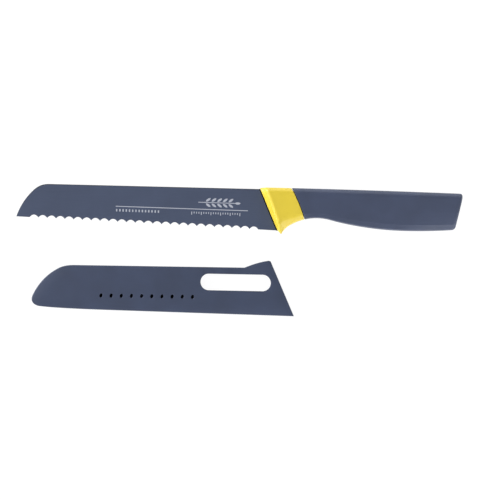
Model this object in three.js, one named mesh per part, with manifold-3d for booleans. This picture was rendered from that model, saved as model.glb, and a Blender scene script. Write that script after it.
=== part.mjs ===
// Bread knife with a scalloped blade, a yellow collar and a moulded handle, and the slotted
// two-part blade cover (sheath) that lies beside it. Millimetres, +Z up.
//
// The knife lies on its right side with its blade level. Its pieces are drawn in side view:
// x = 0 where the spine meets the collar, +x towards the butt, y = 0 on the spine, +y up, and
// z = 0 in the middle of the blade's thickness. The sheath has its own side view: x = 0 and
// y = 0 just inside the mouth's top corner, +x out of the mouth, y parallel to the mouth's height.

import * as THREE from 'three';
import { mergeVertices } from 'three/addons/utils/BufferGeometryUtils.js';
import Module from 'manifold-3d';

const wasm = await Module();
wasm.setup();

// ---- Driving dimensions ----

const GAP = 0.3; // left between pieces that touch on the real knife

// Blade
const BLADE_THICKNESS = 1.8;
const TIP = new THREE.Vector2(-172.25, -23.45); // lowest point of the tip, where the edge begins
const EDGE_ANGLE = THREE.MathUtils.degToRad(1.7); // the edge falls away from the spine
const EDGE_SLOPE = Math.tan(EDGE_ANGLE);
const TIP_ARC_CENTRE = new THREE.Vector2(-129.25, -36.9);
const TIP_ARC_END = THREE.MathUtils.degToRad(133); // where the tip's arc starts to blend
const SPINE_END = -149.5; // x where that blend reaches the straight spine
const SCALLOP_COUNT = 26;
const SCALLOP_PITCH = 6.215;
const SCALLOP_START = -162.8; // x of the first scallop's cusp
const SCALLOP_DEPTH = 1.9;
const GRIND_ANGLE = THREE.MathUtils.degToRad(20); // between the ground facets and the blade's side
const TIP_EDGE_THICKNESS = 0.2; // left along the plain edge at the tip
const CUTTER_LENGTH = 40;
const BEVEL_DEPTH = 6; // of the block that grinds the tip's plain edge
const BEVEL_OVERRUN = 4; // by which that block starts in front of the tip

// Tang
const TANG_THICKNESS = 1.5;
const TANG_TOP = -3.8;
const TANG_BOTTOM = -14.8;
const TANG_END = 96;
const TANG_HOLE_RADIUS = 2.5;
const TANG_HOLES_X = [34, 59, 84];
const TANG_OVERLAP = 2; // of blade and tang, which are one piece

// Collar and handle
const HANDLE_THICKNESS = 17;
const FRONT_LEAN = 0.44; // the collar's front line runs back this far for each mm down
const FRONT_X = -0.4; // x of that line at the spine
const FRONT_BOTTOM = -29;
const COLLAR_TOP = 1.2;
const GUARD_TIP = new THREE.Vector2(15, -31.75); // lowest point of the finger guard
const GUARD_BEND = new THREE.Vector2(16.4, -28.2);
const FRONT_HALF_THICKNESS = 3.1; // at the collar's front face, inside its chamfer
const CHAMFER_LENGTH = 4.2;
const CHAMFER_STEP = 0.2; // what the chamfer leaves for the small round behind it
const CHAMFER_ROUND = 1.35;
const FRONT_INSET = 0.5; // the collar's front face is this much smaller all round in height
const GROOVE_CENTRE = new THREE.Vector2(40.37, -56.55); // finger groove
const GROOVE_RADIUS = 36.95;
const GROOVE_START = THREE.MathUtils.degToRad(123.3);
const GROOVE_END = THREE.MathUtils.degToRad(75.5);
const GROOVE_BEND = new THREE.Vector2(56, -22.5); // between groove and belly
const BELLY_BEND = new THREE.Vector2(77, -27.1);
const BELLY = new THREE.Vector2(102, -27.1);
const BUTT_BEND = new THREE.Vector2(120, -27.1);
const BUTT_BOTTOM = new THREE.Vector2(137.25, -25.55);
const BUTT_TOP = new THREE.Vector2(142.85, 0.1);
const BACK_BEND = new THREE.Vector2(70, 1.35);
const COLLAR_REAR_TOP = new THREE.Vector2(21.3, 1.6);
const COLLAR_REAR_BEND = new THREE.Vector2(28.3, -11.6);
const COLLAR_REAR_BOTTOM = new THREE.Vector2(31.2, -22.2);
const COLLAR_REACH = 45; // both pieces' forms run past the line where they are cut
const GRIP_REACH = 12;
const CLEAR_OF_HANDLE = { top: 10, bottom: -40, front: -30, back: 160 };
const BUTT_ROUND = 2.4;
const BUTT_STEPS = 4;
const TOP_ROUND = 4.5; // edge rounding along the handle's back
const LOW_ROUND_HEIGHT = 6.5; // the underside is rounded more softly
const LOW_ROUND_WIDTH = 7;
const CORNER_STEPS = 4;
const SECTION_SPACING = 5;
const CORE_INSET = 2.2; // wall thickness of collar and grip over the core
const CORE_FRONT = 7; // core starts this far behind the collar's front
const CORE_BACK = 137;

// Sheath
const SHEATH_THICKNESS = 5.6;
const WALL = 1.3;
const MOUTH_X = 0.05; // x of the mouth's leaning line at y = 0
const MOUTH_LEAN = 0.447;
const MOUTH_TOP = 1;
const SHEATH_HEEL = -37.05; // its lowest point, at the mouth
const SHEATH_ROUND = 0.8; // rounding of its outer edges
const RAMP_LIP = 1.95;
const RAMP_TOP = new THREE.Vector2(-2.3, 1.85); // thumb ramp on top of the mouth
const RAMP_BEND = new THREE.Vector2(-9.4, 0.8);
const RAMP_START = new THREE.Vector2(-19.07, -3.33);
const SHEATH_TOP = new THREE.Vector2(-139.3, -3.82); // where its straight top ends
const SHEATH_TIP_CENTRE = new THREE.Vector2(-131.6, -41.6);
const SHEATH_TIP_RADIUS = 40.2;
const SHEATH_ARC_TOP = THREE.MathUtils.degToRad(118);
const SHEATH_ARC_LOW = THREE.MathUtils.degToRad(154.8);
const TIP_HIGH = new THREE.Vector2(-171, -29.85); // these two bend its small lower corner
const TIP_LOW = new THREE.Vector2(-167.8, -33);
const TIP_CORNER = new THREE.Vector2(-163, -33.4);
const UNDERSIDE_BEND = new THREE.Vector2(-151.2, -34.6);
const UNDERSIDE_START = new THREE.Vector2(-119.4, -35.1); // where its straight underside starts
const CAVITY_END = 30; // outside the mouth, so that the cavity is open there
const SLOT_LEFT = -49.95;
const SLOT_RIGHT = -0.2;
const SLOT_TOP = -8.13;
const SLOT_BOTTOM = -19.8;
const HOLE_COUNT = 10;
const HOLE_RADIUS = 1.25;
const FIRST_HOLE = new THREE.Vector2(-120.12, -24.97);
const LAST_HOLE = new THREE.Vector2(-55.38, -24.68);

// Where the sheath lies, in the knife's side view
const SHEATH_PLACE = new THREE.Vector2(8.7, -52.34);
const SHEATH_YAW = THREE.MathUtils.degToRad(0.27);

// A block that covers the whole sheath, to split it with
const SPLITTER = { x: -80, length: 400, width: 200 };

// ---- Solids ----

function toSolid(geometry) {
  const bare = geometry.clone();
  bare.deleteAttribute('normal');
  bare.deleteAttribute('uv');
  const merged = mergeVertices(bare, 1e-4);
  return new wasm.Manifold(new wasm.Mesh({
    numProp: 3,
    vertProperties: new Float32Array(merged.attributes.position.array),
    triVerts: new Uint32Array(merged.index.array),
  }));
}

function toGeometry(solid) {
  const mesh = solid.getMesh();
  const geometry = new THREE.BufferGeometry();
  geometry.setAttribute('position', new THREE.BufferAttribute(mesh.vertProperties, 3));
  geometry.setIndex(new THREE.BufferAttribute(mesh.triVerts, 1));
  geometry.computeVertexNormals();
  return geometry;
}

// A flat shape drawn in side view, given a thickness centred on z = middle.
function slab(shape, thickness, middle = 0, curveSegments = 12) {
  const geometry = new THREE.ExtrudeGeometry(shape, {
    depth: thickness,
    bevelEnabled: false,
    curveSegments,
  });
  geometry.translate(0, 0, middle - thickness / 2);
  return toSolid(geometry);
}

function cylinderAlongZ(x, y, radius, length, segments = 20) {
  const geometry = new THREE.CylinderGeometry(radius, radius, length, segments);
  geometry.rotateX(Math.PI / 2);
  geometry.translate(x, y, 0);
  return toSolid(geometry);
}

// A closed skin over rings of equally many points, with a fan on each end.
function loft(rings) {
  const count = rings[0].length;
  const points = rings.flat();
  const faces = [];
  for (let r = 0; r + 1 < rings.length; r++) {
    for (let i = 0; i < count; i++) {
      const a = r * count + i;
      const b = r * count + (i + 1) % count;
      faces.push(a, b, a + count);
      faces.push(b, b + count, a + count);
    }
  }
  const ends = [
    { ring: rings[0], first: 0, outward: false },
    { ring: rings.at(-1), first: (rings.length - 1) * count, outward: true },
  ];
  for (const { ring, first, outward } of ends) {
    const centre = points.length;
    const sum = ring.reduce((total, point) => total.add(point), new THREE.Vector3());
    points.push(sum.divideScalar(count));
    for (let i = 0; i < count; i++) {
      const a = first + i;
      const b = first + (i + 1) % count;
      faces.push(...(outward ? [a, b, centre] : [b, a, centre]));
    }
  }
  const geometry = new THREE.BufferGeometry().setFromPoints(points);
  geometry.setIndex(faces);
  return toSolid(geometry);
}

// ---- Blade ----

function edgeY(x) {
  return TIP.y - (x - TIP.x) * EDGE_SLOPE;
}

function frontX(y) {
  return FRONT_X - y * FRONT_LEAN;
}

function bladeOutline() {
  const radius = TIP.distanceTo(TIP_ARC_CENTRE);
  const tipAngle = TIP.clone().sub(TIP_ARC_CENTRE).angle();
  const blendStart = new THREE.Vector2(Math.cos(TIP_ARC_END), Math.sin(TIP_ARC_END));
  blendStart.multiplyScalar(radius).add(TIP_ARC_CENTRE);
  const blendControlX = blendStart.x + blendStart.y * Math.tan(TIP_ARC_END);
  const heelX = (FRONT_X - FRONT_LEAN * edgeY(0)) / (1 - FRONT_LEAN * EDGE_SLOPE);
  const shape = new THREE.Shape();
  shape.moveTo(frontX(0) - GAP, 0);
  shape.lineTo(SPINE_END, 0);
  shape.quadraticCurveTo(blendControlX, 0, blendStart.x, blendStart.y);
  shape.absarc(TIP_ARC_CENTRE.x, TIP_ARC_CENTRE.y, radius, TIP_ARC_END, tipAngle, false);
  shape.lineTo(heelX - GAP, edgeY(heelX));
  shape.closePath();
  return shape;
}

// The tang starts inside the blade, so that the two join, and ends round inside the handle.
function tangOutline(clearance) {
  const top = TANG_TOP + clearance;
  const bottom = TANG_BOTTOM - clearance;
  const radius = (top - bottom) / 2;
  const endX = TANG_END + clearance - radius;
  const shape = new THREE.Shape();
  shape.moveTo(frontX(top) - TANG_OVERLAP, top);
  shape.lineTo(frontX(bottom) - TANG_OVERLAP, bottom);
  shape.absarc(endX, (top + bottom) / 2, radius, -Math.PI / 2, Math.PI / 2, false);
  shape.closePath();
  return shape;
}

function tangPlug(x, radius) {
  return cylinderAlongZ(x, (TANG_TOP + TANG_BOTTOM) / 2, radius, 2 * BLADE_THICKNESS);
}

// One round grinding cut. It leaves a scallop in the flat side's outline and a hollow facet on
// the other side, whose surface leans at the grind angle.
function scallopCutter(cuspX) {
  const half = SCALLOP_PITCH / 2;
  const sagitta = SCALLOP_DEPTH * Math.sin(GRIND_ANGLE);
  const radius = (half * half + sagitta * sagitta) / (2 * sagitta);
  const x = cuspX + half;
  const geometry = new THREE.CylinderGeometry(radius, radius, CUTTER_LENGTH, 48);
  geometry.rotateX(-GRIND_ANGLE);
  geometry.translate(
    0,
    SCALLOP_DEPTH - radius * Math.sin(GRIND_ANGLE),
    BLADE_THICKNESS / 2 - radius * Math.cos(GRIND_ANGLE),
  );
  geometry.rotateZ(-EDGE_ANGLE);
  geometry.translate(x, edgeY(x), 0);
  return toSolid(geometry);
}

// The straight ground facet on the short plain edge between the tip and the first scallop.
function tipBevelCutter() {
  const width = SCALLOP_START - TIP.x + BEVEL_OVERRUN;
  const geometry = new THREE.BoxGeometry(width, CUTTER_LENGTH, BEVEL_DEPTH);
  geometry.translate(0, 0, -BEVEL_DEPTH / 2);
  geometry.rotateX(-GRIND_ANGLE);
  geometry.translate(-width / 2, 0, BLADE_THICKNESS / 2 - TIP_EDGE_THICKNESS);
  geometry.rotateZ(-EDGE_ANGLE);
  geometry.translate(SCALLOP_START, edgeY(SCALLOP_START), 0);
  return toSolid(geometry);
}

function makeBlade() {
  let solid = slab(bladeOutline(), BLADE_THICKNESS, 0, 16);
  solid = solid.subtract(tipBevelCutter());
  for (let i = 0; i < SCALLOP_COUNT; i++) {
    solid = solid.subtract(scallopCutter(SCALLOP_START + i * SCALLOP_PITCH));
  }
  solid = solid.add(slab(tangOutline(0), TANG_THICKNESS));
  for (const x of TANG_HOLES_X) {
    solid = solid.subtract(tangPlug(x, TANG_HOLE_RADIUS));
  }
  return solid;
}

// ---- Handle and collar ----

const handleBack = new THREE.QuadraticBezierCurve(
  new THREE.Vector2(frontX(COLLAR_TOP), COLLAR_TOP),
  BACK_BEND,
  BUTT_TOP,
);

// From the collar's front, round the guard's tip and the finger groove, along the belly to the butt.
function makeUnderside() {
  const groove = new THREE.EllipseCurve(
    GROOVE_CENTRE.x, GROOVE_CENTRE.y, GROOVE_RADIUS, GROOVE_RADIUS, GROOVE_START, GROOVE_END, true,
  );
  const front = new THREE.Vector2(frontX(FRONT_BOTTOM), FRONT_BOTTOM);
  const path = new THREE.CurvePath();
  path.add(new THREE.LineCurve(front, GUARD_TIP));
  path.add(new THREE.QuadraticBezierCurve(GUARD_TIP, GUARD_BEND, groove.getPoint(0)));
  path.add(groove);
  path.add(new THREE.CubicBezierCurve(groove.getPoint(1), GROOVE_BEND, BELLY_BEND, BELLY));
  path.add(new THREE.QuadraticBezierCurve(BELLY, BUTT_BEND, BUTT_BOTTOM));
  return path;
}

const underside = makeUnderside();
const handleLength = handleBack.getLength();

// Half the thickness at a distance behind the collar's front face: a steep chamfer, a small
// round and then the handle's flat sides.
function halfThickness(distance) {
  const full = HANDLE_THICKNESS / 2;
  const chamfered = full - CHAMFER_STEP;
  if (distance < CHAMFER_LENGTH) {
    return THREE.MathUtils.mapLinear(distance, 0, CHAMFER_LENGTH, FRONT_HALF_THICKNESS, chamfered);
  }
  return Math.min(chamfered + CHAMFER_STEP * (distance - CHAMFER_LENGTH) / CHAMFER_ROUND, full);
}

// How far a section shrinks all round as it nears the butt's rounded end.
function buttInset(distance) {
  const into = Math.max(BUTT_ROUND - (handleLength - distance), 0);
  return BUTT_ROUND - Math.sqrt(BUTT_ROUND ** 2 - into ** 2);
}

// One cross-section of the handle, smaller all round by the inset: a rectangle that leans with
// the handle's ends and has elliptical corners, softer along the underside than along the back.
function section(distance, inset) {
  const top = handleBack.getPointAt(distance / handleLength);
  const bottom = underside.getPointAt(distance / handleLength);
  const down = bottom.clone().sub(top).normalize();
  const shrink = inset + buttInset(distance);
  const frontShrink = FRONT_INSET * Math.max(0, 1 - distance / CHAMFER_LENGTH);
  const half = halfThickness(distance) - shrink;
  const topRound = Math.min(Math.max(TOP_ROUND - inset, 1), 0.9 * half);
  const lowHeight = LOW_ROUND_HEIGHT - inset;
  const lowWidth = Math.min(LOW_ROUND_WIDTH - inset, 0.9 * half);
  const high = shrink + frontShrink + topRound;
  const low = top.distanceTo(bottom) - shrink - frontShrink - lowHeight;
  const corners = [
    { along: high, z: half - topRound, height: topRound, width: topRound },
    { along: low, z: half - lowWidth, height: lowHeight, width: lowWidth },
    { along: low, z: lowWidth - half, height: lowHeight, width: lowWidth },
    { along: high, z: topRound - half, height: topRound, width: topRound },
  ];
  return corners.flatMap((corner, quarter) => {
    const ring = [];
    for (let step = 0; step <= CORNER_STEPS; step++) {
      const angle = (quarter + step / CORNER_STEPS) * Math.PI / 2;
      const along = corner.along - corner.height * Math.cos(angle);
      const z = corner.z + corner.width * Math.sin(angle);
      ring.push(new THREE.Vector3(top.x + down.x * along, top.y + down.y * along, z));
    }
    return ring;
  });
}

// The handle's form between two distances behind the collar's front, smaller by the inset.
function handleForm(from, to, inset = 0) {
  const chamfer = [0, CHAMFER_LENGTH, CHAMFER_LENGTH + CHAMFER_ROUND];
  const buttArc = [];
  for (let step = 0; step <= BUTT_STEPS; step++) {
    const angle = step / BUTT_STEPS * Math.PI / 2;
    buttArc.push(handleLength - BUTT_ROUND * (1 - Math.sin(angle)));
  }
  const between = [];
  for (let x = from + SECTION_SPACING; x < Math.min(to, buttArc[0]) - 1; x += SECTION_SPACING) {
    between.push(x);
  }
  const distances = [from, ...chamfer, ...between, ...buttArc, to]
    .filter((distance) => distance >= from && distance <= to)
    .sort((a, b) => a - b)
    .filter((distance, i, all) => i === 0 || distance - all[i - 1] > 0.05);
  return loft(distances.map((distance) => section(distance, inset)));
}

// Everything in front of the collar's curved rear line, or everything behind it.
function collarSide(inFront, offset) {
  const { top, bottom, front, back } = CLEAR_OF_HANDLE;
  const farX = inFront ? front : back;
  const shape = new THREE.Shape();
  shape.moveTo(COLLAR_REAR_TOP.x + offset, top);
  shape.lineTo(COLLAR_REAR_TOP.x + offset, COLLAR_REAR_TOP.y);
  shape.quadraticCurveTo(
    COLLAR_REAR_BEND.x + offset, COLLAR_REAR_BEND.y,
    COLLAR_REAR_BOTTOM.x + offset, COLLAR_REAR_BOTTOM.y,
  );
  shape.lineTo(COLLAR_REAR_BOTTOM.x + offset, bottom);
  shape.lineTo(farX, bottom);
  shape.lineTo(farX, top);
  shape.closePath();
  return slab(shape, 2 * HANDLE_THICKNESS, 0, 8);
}

function coreCavity() {
  return handleForm(CORE_FRONT - GAP, CORE_BACK + GAP, CORE_INSET - GAP);
}

function tangCavity() {
  return slab(tangOutline(GAP), TANG_THICKNESS + 2 * GAP);
}

function makeCollar() {
  const form = handleForm(0, COLLAR_REACH).intersect(collarSide(true, 0));
  return form.subtract(coreCavity()).subtract(tangCavity());
}

function makeHandleGrip() {
  const form = handleForm(GRIP_REACH, handleLength).intersect(collarSide(false, GAP));
  return form.subtract(coreCavity());
}

// The core fills the handle round the tang, and its plugs pass through the tang's holes.
function makeHandleCore() {
  let solid = handleForm(CORE_FRONT, CORE_BACK, CORE_INSET).subtract(tangCavity());
  for (const x of TANG_HOLES_X) {
    solid = solid.add(tangPlug(x, TANG_HOLE_RADIUS - GAP));
  }
  return solid;
}

// ---- Sheath ----

function mouthX(y) {
  return MOUTH_X - y * MOUTH_LEAN;
}

// From the end of the straight top, down round the tip and back to the straight underside,
// smaller all round by the inset.
function drawTip(shape, inset) {
  const radius = SHEATH_TIP_RADIUS - inset;
  const centre = SHEATH_TIP_CENTRE;
  const topY = SHEATH_TOP.y - inset;
  const arcTop = new THREE.Vector2(Math.cos(SHEATH_ARC_TOP), Math.sin(SHEATH_ARC_TOP));
  arcTop.multiplyScalar(radius).add(centre);
  const bendX = arcTop.x + (arcTop.y - topY) * Math.tan(SHEATH_ARC_TOP);
  const cornerY = TIP_CORNER.y + inset;
  shape.quadraticCurveTo(bendX, topY, arcTop.x, arcTop.y);
  shape.absarc(centre.x, centre.y, radius, SHEATH_ARC_TOP, SHEATH_ARC_LOW, false);
  shape.bezierCurveTo(
    TIP_HIGH.x + inset, TIP_HIGH.y, TIP_LOW.x + inset / 2, TIP_LOW.y + inset, TIP_CORNER.x, cornerY,
  );
  shape.quadraticCurveTo(
    UNDERSIDE_BEND.x, UNDERSIDE_BEND.y + inset, UNDERSIDE_START.x, UNDERSIDE_START.y + inset,
  );
}

function sheathOutline() {
  const shape = new THREE.Shape();
  shape.moveTo(mouthX(MOUTH_TOP), MOUTH_TOP);
  shape.quadraticCurveTo(mouthX(RAMP_LIP), RAMP_LIP, RAMP_TOP.x, RAMP_TOP.y);
  shape.quadraticCurveTo(RAMP_BEND.x, RAMP_BEND.y, RAMP_START.x, RAMP_START.y);
  shape.lineTo(SHEATH_TOP.x, SHEATH_TOP.y);
  drawTip(shape, 0);
  shape.lineTo(mouthX(SHEATH_HEEL), SHEATH_HEEL);
  shape.closePath();
  return shape;
}

// The room for the blade, a wall smaller all round and open at the mouth.
function cavityOutline() {
  const heel = new THREE.Vector2(mouthX(SHEATH_HEEL), SHEATH_HEEL);
  const share = (CAVITY_END - UNDERSIDE_START.x) / (heel.x - UNDERSIDE_START.x);
  const shape = new THREE.Shape();
  shape.moveTo(CAVITY_END, SHEATH_TOP.y - WALL);
  shape.lineTo(SHEATH_TOP.x, SHEATH_TOP.y - WALL);
  drawTip(shape, WALL);
  shape.lineTo(CAVITY_END, THREE.MathUtils.lerp(UNDERSIDE_START.y, heel.y, share) + WALL);
  shape.closePath();
  return shape;
}

function slotOutline() {
  const radius = (SLOT_TOP - SLOT_BOTTOM) / 2;
  const y = (SLOT_TOP + SLOT_BOTTOM) / 2;
  const shape = new THREE.Shape();
  shape.absarc(SLOT_RIGHT - radius, y, radius, -Math.PI / 2, Math.PI / 2, false);
  shape.absarc(SLOT_LEFT + radius, y, radius, Math.PI / 2, 3 * Math.PI / 2, false);
  shape.closePath();
  return shape;
}

// The whole sheath as one closed form with rounded outer edges, lying on z = 0.
function sheathBody() {
  const geometry = new THREE.ExtrudeGeometry(sheathOutline(), {
    depth: SHEATH_THICKNESS - 2 * SHEATH_ROUND,
    bevelThickness: SHEATH_ROUND,
    bevelSize: SHEATH_ROUND,
    bevelOffset: -SHEATH_ROUND,
    bevelSegments: 2,
    curveSegments: 10,
  });
  geometry.translate(0, 0, SHEATH_ROUND);
  const middle = SHEATH_THICKNESS / 2;
  return toSolid(geometry)
    .subtract(slab(cavityOutline(), SHEATH_THICKNESS - 2 * WALL, middle, 10))
    .subtract(slab(slotOutline(), 2 * SHEATH_THICKNESS, middle, 10));
}

// One half of the sheath, split at the middle of its thickness.
function sheathHalf(upper) {
  const geometry = new THREE.BoxGeometry(SPLITTER.length, SPLITTER.width, SHEATH_THICKNESS);
  const shift = (SHEATH_THICKNESS + GAP) / 2;
  geometry.translate(SPLITTER.x, 0, SHEATH_THICKNESS / 2 + (upper ? shift : -shift));
  return sheathBody().intersect(toSolid(geometry));
}

function makeSheathFront() {
  let solid = sheathHalf(true);
  for (let i = 0; i < HOLE_COUNT; i++) {
    const centre = FIRST_HOLE.clone().lerp(LAST_HOLE, i / (HOLE_COUNT - 1));
    solid = solid.subtract(cylinderAlongZ(centre.x, centre.y, HOLE_RADIUS, 4 * SHEATH_THICKNESS, 12));
  }
  return solid;
}

function makeSheathBack() {
  return sheathHalf(false);
}

// ---- Materials ----

const coatedSteel = new THREE.MeshStandardMaterial({ color: 0x50586d, roughness: 0.45, metalness: 0.4 });
const yellowPlastic = new THREE.MeshStandardMaterial({ color: 0xe4cd4b, roughness: 0.4, metalness: 0 });
const corePlastic = new THREE.MeshStandardMaterial({ color: 0x30353f, roughness: 0.6, metalness: 0 });
const gripPlastic = new THREE.MeshStandardMaterial({ color: 0x495166, roughness: 0.55, metalness: 0 });
const sheathPlastic = new THREE.MeshStandardMaterial({ color: 0x485165, roughness: 0.6, metalness: 0 });

// ---- Assembly ----

function piece(name, solid, material) {
  const mesh = new THREE.Mesh(toGeometry(solid), material.clone());
  mesh.name = name;
  return mesh;
}

const knife = new THREE.Group();
knife.add(
  piece('blade', makeBlade(), coatedSteel),
  piece('collar', makeCollar(), yellowPlastic),
  piece('handle_core', makeHandleCore(), corePlastic),
  piece('handle_grip', makeHandleGrip(), gripPlastic),
);
knife.position.z = HANDLE_THICKNESS / 2;

const sheath = new THREE.Group();
sheath.add(
  piece('sheath_front_shell', makeSheathFront(), sheathPlastic),
  piece('sheath_back_shell', makeSheathBack(), sheathPlastic),
);
sheath.position.set(SHEATH_PLACE.x, SHEATH_PLACE.y, 0);
sheath.rotation.z = SHEATH_YAW;

// The origin is on the table, in the middle of the footprint of knife and sheath together.
const object = new THREE.Group();
object.add(knife, sheath);
const footprint = new THREE.Box3().setFromObject(object, true).getCenter(new THREE.Vector3());
for (const part of object.children) {
  part.position.x -= footprint.x;
  part.position.y -= footprint.y;
}

export default object;
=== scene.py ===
import math

import bmesh
import bpy
import numpy as np
from mathutils import Matrix, Vector


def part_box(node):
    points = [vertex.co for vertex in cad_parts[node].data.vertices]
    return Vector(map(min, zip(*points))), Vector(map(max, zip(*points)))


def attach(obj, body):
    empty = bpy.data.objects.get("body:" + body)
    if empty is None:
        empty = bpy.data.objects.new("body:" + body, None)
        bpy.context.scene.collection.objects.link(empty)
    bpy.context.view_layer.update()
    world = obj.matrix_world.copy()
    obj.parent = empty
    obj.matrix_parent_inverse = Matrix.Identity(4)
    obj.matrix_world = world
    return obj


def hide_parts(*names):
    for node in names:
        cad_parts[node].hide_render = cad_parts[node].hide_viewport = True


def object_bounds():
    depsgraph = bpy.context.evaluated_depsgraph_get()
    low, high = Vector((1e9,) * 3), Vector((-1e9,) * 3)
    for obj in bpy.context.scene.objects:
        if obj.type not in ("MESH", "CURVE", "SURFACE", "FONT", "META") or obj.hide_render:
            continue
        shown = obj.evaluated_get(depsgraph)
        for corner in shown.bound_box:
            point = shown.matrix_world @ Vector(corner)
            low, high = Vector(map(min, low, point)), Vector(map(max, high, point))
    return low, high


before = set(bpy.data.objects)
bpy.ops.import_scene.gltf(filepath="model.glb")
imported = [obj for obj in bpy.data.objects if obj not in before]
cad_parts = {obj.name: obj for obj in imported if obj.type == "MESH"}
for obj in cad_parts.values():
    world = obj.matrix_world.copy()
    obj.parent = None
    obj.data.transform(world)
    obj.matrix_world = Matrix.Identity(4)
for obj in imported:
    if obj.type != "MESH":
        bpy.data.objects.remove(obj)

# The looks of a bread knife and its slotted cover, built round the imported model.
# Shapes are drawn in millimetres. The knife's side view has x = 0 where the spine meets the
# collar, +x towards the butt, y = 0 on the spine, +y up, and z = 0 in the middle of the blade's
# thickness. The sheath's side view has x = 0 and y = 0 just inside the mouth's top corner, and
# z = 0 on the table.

cad_low, cad_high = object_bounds()
MM = 0.001
WELD = 1e-4  # millimetres within which a mesh's vertices are one

# ---- Dimensions, in millimetres ----

# Blade
HALF_BLADE = 0.9
TIP = (-172.25, -23.45)
EDGE_SLOPE = math.tan(math.radians(1.7))
TIP_ARC_CENTRE = (-129.25, -36.9)
TIP_ARC_END = math.radians(133)
SPINE_END = -149.5
SPINE_ROUND = 0.6
SCALLOPS = 26
PITCH = 6.215
FIRST_CUSP = -162.8
SCALLOP_DEPTH = 1.9
GRIND = math.radians(20)
LAST_CUSP = FIRST_CUSP + SCALLOPS * PITCH
TIP_EDGE = 0.2  # thickness left along the plain edge at the tip
TIP_EDGE_OVERRUN = 0.5  # how far that plain edge's grinding runs past the first cusp
KEEN_EDGE = 0.04  # thickness left along the scallops
TIP_SECTIONS = 39
TIP_CROWDING = 1.8  # more than 1 crowds the sections towards the tip
SCALLOP_SECTIONS = 16
HEEL_SECTIONS = 12
LEAST_HEIGHT = 0.02  # of a section, where the tip comes to a point
INSIDE_COLLAR = 1.0  # how far the blade reaches in behind the collar's front

# Tang
HALF_TANG = 0.75
TANG_START = 0.4  # behind the collar's front
TANG_TOP = -3.8
TANG_BOTTOM = -14.8
TANG_END = 96.0
TANG_HOLES = (34.0, 59.0, 84.0)
TANG_HOLE_RADIUS = 2.5
TANG_CUTTER = 2.0  # half the height of what cuts the tang's holes

# Collar and handle
HALF_HANDLE = 8.5
FRONT_X = -0.4
FRONT_LEAN = 0.44
FRONT_BOTTOM = -29.0
COLLAR_TOP = 1.2
GUARD_TIP = (15.0, -31.75)
GUARD_BEND = (16.4, -28.2)
FRONT_HALF = 3.1
FRONT_INSET = 0.5
CHAMFER_FLAT = 3.3
CHAMFER_ROUND = 2.6
CHAMFER_LENGTH = CHAMFER_FLAT + CHAMFER_ROUND / 2
GROOVE_CENTRE = (40.37, -56.55)
GROOVE_RADIUS = 36.95
GROOVE_START = math.radians(123.3)
GROOVE_END = math.radians(75.5)
GROOVE_BEND = (56, -22.5)
BELLY_BEND = (77, -27.1)
BELLY = (102.0, -27.1)
BUTT_BEND = (120, -27.1)
BUTT_BOTTOM = (137.38, -25.55)
BUTT_TOP = (142.93, 0.1)
BACK_BEND = (70, 1.35)
BUTT_ROUND = 2.4
BUTT_TOP_SHARE = 1.4
BUTT_LOW_SHARE = 0.8
TOP_ROUND = 4.5
SEAM_TOP_X = 21.35
SEAM_BOTTOM_X = 31.05
SEAM_BULGE = 0.75
SEAM_FADE = 40.0
COLLAR_LIP = 0.4
GRIP_LIP = 0.45
SEAM_GAP = 0.5
LINING_INSET = 1.9
LINING_FRONT = 6.7
LINING_BACK = 137.3
# The bead along the collar's front is painted shade: a dark strip for the contact shadow there
SHADE_BEAD_WIDTH = 0.9
SHADE_BEAD_PROUD = 0.1

# Places and spacing of the handle's sections, measured along its back
FRONT_STATIONS = (0.0, 0.15, 0.6)
CHAMFER_START = 1.0
CHAMFER_SPACING = 0.5
SHOULDER_SPACING = 0.3
COLLAR_SPACING = 0.8
COLLAR_LINING_SPACING = 1.0
GRIP_SPACING = 1.0
GRIP_LINING_SPACING = 2.0

# The handle's flat side swells down a little and meets the underside over a facet. The facet is
# steep on the collar, shallow along the neck and steeper again towards the butt. Each table gives
# (distance along the back, value).
LOW_ROUND = 0.9
FACET_LAST = 0.35  # the facet's last stretch, before the low round
FACET_SHARE = 0.6  # the most of a section's height that swell, facet and low round take
FACET_WIDTHS = ((0, 6.2), (8, 6.2), (17, 3.9), (24, 3.5))
FACET_EASES = ((0, 2.2), (16, 2.2), (24, 0.35))
FACET_SLOPES = (
    (0, 0.53), (21, 0.53), (26, 0.25), (32, 0.17), (45, 0.17), (62, 0.24),
    (85, 0.25), (106, 0.34), (128, 0.44), (145, 0.43),
)
SWELL_WIDTH = 12.0
SWELL_DROPS = ((0, 0.12), (85, 0.15), (106, 0.35), (128, 1.5), (145, 1.8))

# Sheath
SHEATH_HEIGHT = 5.6
WALL = 1.3
SHEATH_ROUND = 0.8
SHELL_GAP = 0.03  # between a shell and the plane where the two meet
SHELL_BEVEL = 0.16
CUTTER_OVERRUN = 1.0  # how far a cutter stands out of what it cuts
CROWN_WIDTH = 7.5
CROWN_DROP = 0.9
CROWN_CELL = 2.0
MOUTH_X = 0.05
MOUTH_LEAN = 0.447
MOUTH_TOP = 1.0
SHEATH_HEEL = -37.05
SHEATH_YAW = math.radians(0.27)
RAMP_LIP = 1.95
RAMP_TOP = (-2.3, 1.85)
RAMP_BEND = (-9.4, 0.8)
RAMP_START = (-19.07, -3.33)
SHEATH_TOP = (-139.3, -3.82)
SHEATH_TIP_CENTRE = (-131.6, -41.6)
SHEATH_TIP_RADIUS = 40.2
SHEATH_ARC_TOP = math.radians(118)
SHEATH_ARC_LOW = math.radians(154.8)
TIP_HIGH = (-171, -29.85)
TIP_LOW = (-167.8, -33)
TIP_CORNER = (-163, -33.4)
UNDERSIDE_BEND = (-151.2, -34.6)
UNDERSIDE_START = (-119.4, -35.1)
CAVITY_END = 30.0
SLOT_LEFT = -49.95
SLOT_RIGHT = -0.2
SLOT_TOP = -8.13
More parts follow.
